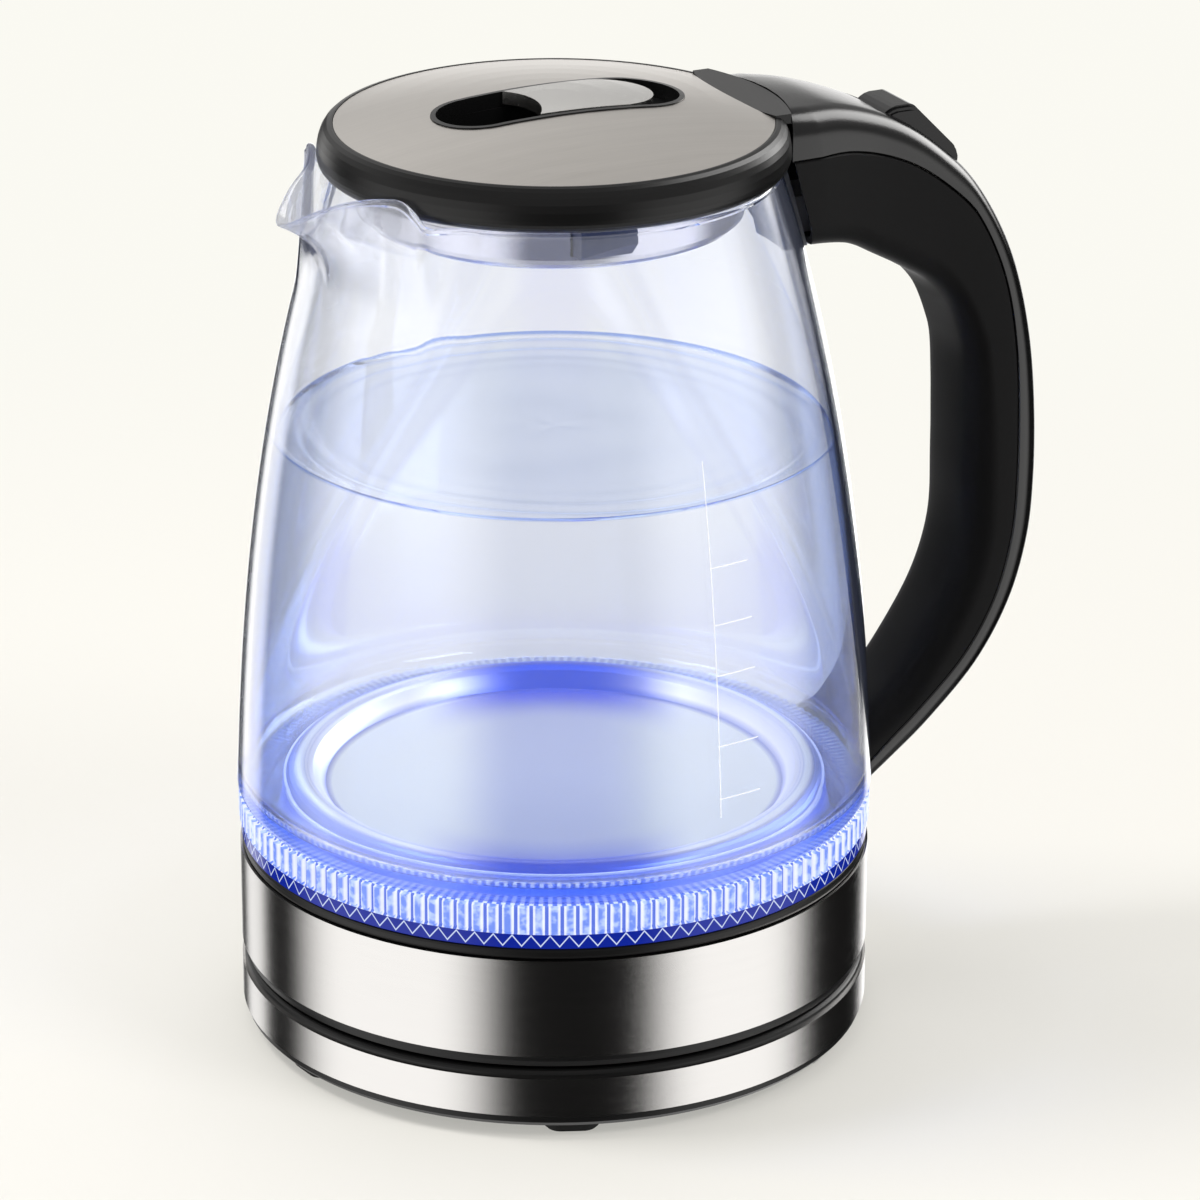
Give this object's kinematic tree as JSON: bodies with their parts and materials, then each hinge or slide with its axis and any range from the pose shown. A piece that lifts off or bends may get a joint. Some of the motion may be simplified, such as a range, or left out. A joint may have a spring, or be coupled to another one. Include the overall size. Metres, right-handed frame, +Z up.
{
  "type": "electric kettle",
  "caption": "Glass electric kettle with a lift-off lid, blue lit ring, black handle with a switch, on a round steel-banded power base.",
  "frame": {"origin": "on the jug's axis, at the level of the table that the feet stand on", "axes": "+Z up along the jug's axis, +X towards the handle, -X towards the spout, +Y to the back, where the cord enters the base"},
  "size_m": [0.2039, 0.1538, 0.2307],
  "materials": {
    "black_plastic": "satin moulded black plastic",
    "band_steel": "steel band brushed round the body",
    "lid_steel": "warm grey steel brushed along the lid",
    "polished_steel": "satin to polished steel",
    "inner_steel": "plain drawn steel",
    "gloss_black": "high gloss black",
    "clear_glass": "clear borosilicate glass",
    "clear_plastic": "clear moulded plastic lit from inside",
    "silicone": "milky silicone",
    "foot_rubber": "black rubber",
    "contact_brass": "plain brass",
    "white_plastic": "off-white heat resistant plastic",
    "board": "white circuit board with lamps",
    "element_steel": "heat darkened tube",
    "wire_cover": "red silicone sleeving",
    "grey_pad": "grey silicone pad",
    "dark_plastic": "dark moulded plastic",
    "screw_steel": "zinc plated steel"
  },
  "bodies": {
    "power_base": {"base_shell": "black_plastic", "base_steel_ring": "band_steel", "base_bottom": "black_plastic", "base_feet": "foot_rubber", "base_screws": "screw_steel", "base_connector": "black_plastic", "base_contacts": "contact_brass", "cord_gland": "black_plastic"},
    "connector": {"jug_socket": "black_plastic", "socket_pins": "contact_brass"},
    "jug": {"jug_housing": "black_plastic", "jug_steel_ring": "band_steel", "trim_ring": "black_plastic", "light_ring": "clear_plastic", "light_board": "board", "clamp_ring": "inner_steel", "heating_plate": "polished_steel", "plate_seal": "silicone", "heating_element": "element_steel", "thermostat": "white_plastic", "glass_jug": "clear_glass", "mount_strip": "grey_pad", "handle_body": "black_plastic", "handle_cover": "black_plastic", "handle_screws": "screw_steel", "steam_switch": "white_plastic", "handle_wires": "wire_cover", "switch_pin": "polished_steel"},
    "switch": {"switch_lever": "gloss_black"},
    "lid": {"lid_ring": "black_plastic", "lid_plate": "lid_steel", "lid_well": "black_plastic", "lid_carrier": "dark_plastic", "lid_inner_cover": "inner_steel", "lid_seal": "silicone", "lid_screws": "screw_steel", "catch_springs": "screw_steel"},
    "lever": {"lid_lever": "polished_steel", "slide_plate": "dark_plastic"},
    "front_catch": {"catch_front": "dark_plastic"},
    "back_catch": {"catch_back": "dark_plastic"}
  },
  "joints": [
    {"name": "jug_lift", "type": "slide", "parent": "power_base", "child": "connector", "axis": [0, 0, 1], "range_m": [0, 0.12]},
    {"name": "jug_swivel", "type": "hinge", "parent": "connector", "child": "jug", "pos_m": [0, 0, 0.03], "axis": [0, 0, 1], "continuous": true},
    {"name": "switch_rock", "type": "hinge", "parent": "jug", "child": "switch", "pos_m": [0.091, 0, 0.20655], "axis": [0, 1, 0], "range_deg": [0, 12]},
    {"name": "lid_lift", "type": "slide", "parent": "jug", "child": "lid", "axis": [0, 0, 1], "range_m": [0, 0.08]},
    {"name": "lever_slide", "type": "slide", "parent": "lid", "child": "lever", "axis": [1, 0, 0], "range_m": [0, 0.006], "stiffness_N_per_m": 400, "springref_m": -0.003},
    {"name": "front_catch_slide", "type": "slide", "parent": "lid", "child": "front_catch", "axis": [0, 1, 0], "range_m": [0, 0.0046], "deforming": ["catch_springs"]},
    {"name": "back_catch_slide", "type": "slide", "parent": "lid", "child": "back_catch", "axis": [0, -1, 0], "range_m": [0, 0.0046]}
  ],
  "couplings": [
    {"joint": "front_catch_slide", "follows": "lever_slide", "ratio": 0.75},
    {"joint": "back_catch_slide", "follows": "lever_slide", "ratio": 0.75}
  ]
}
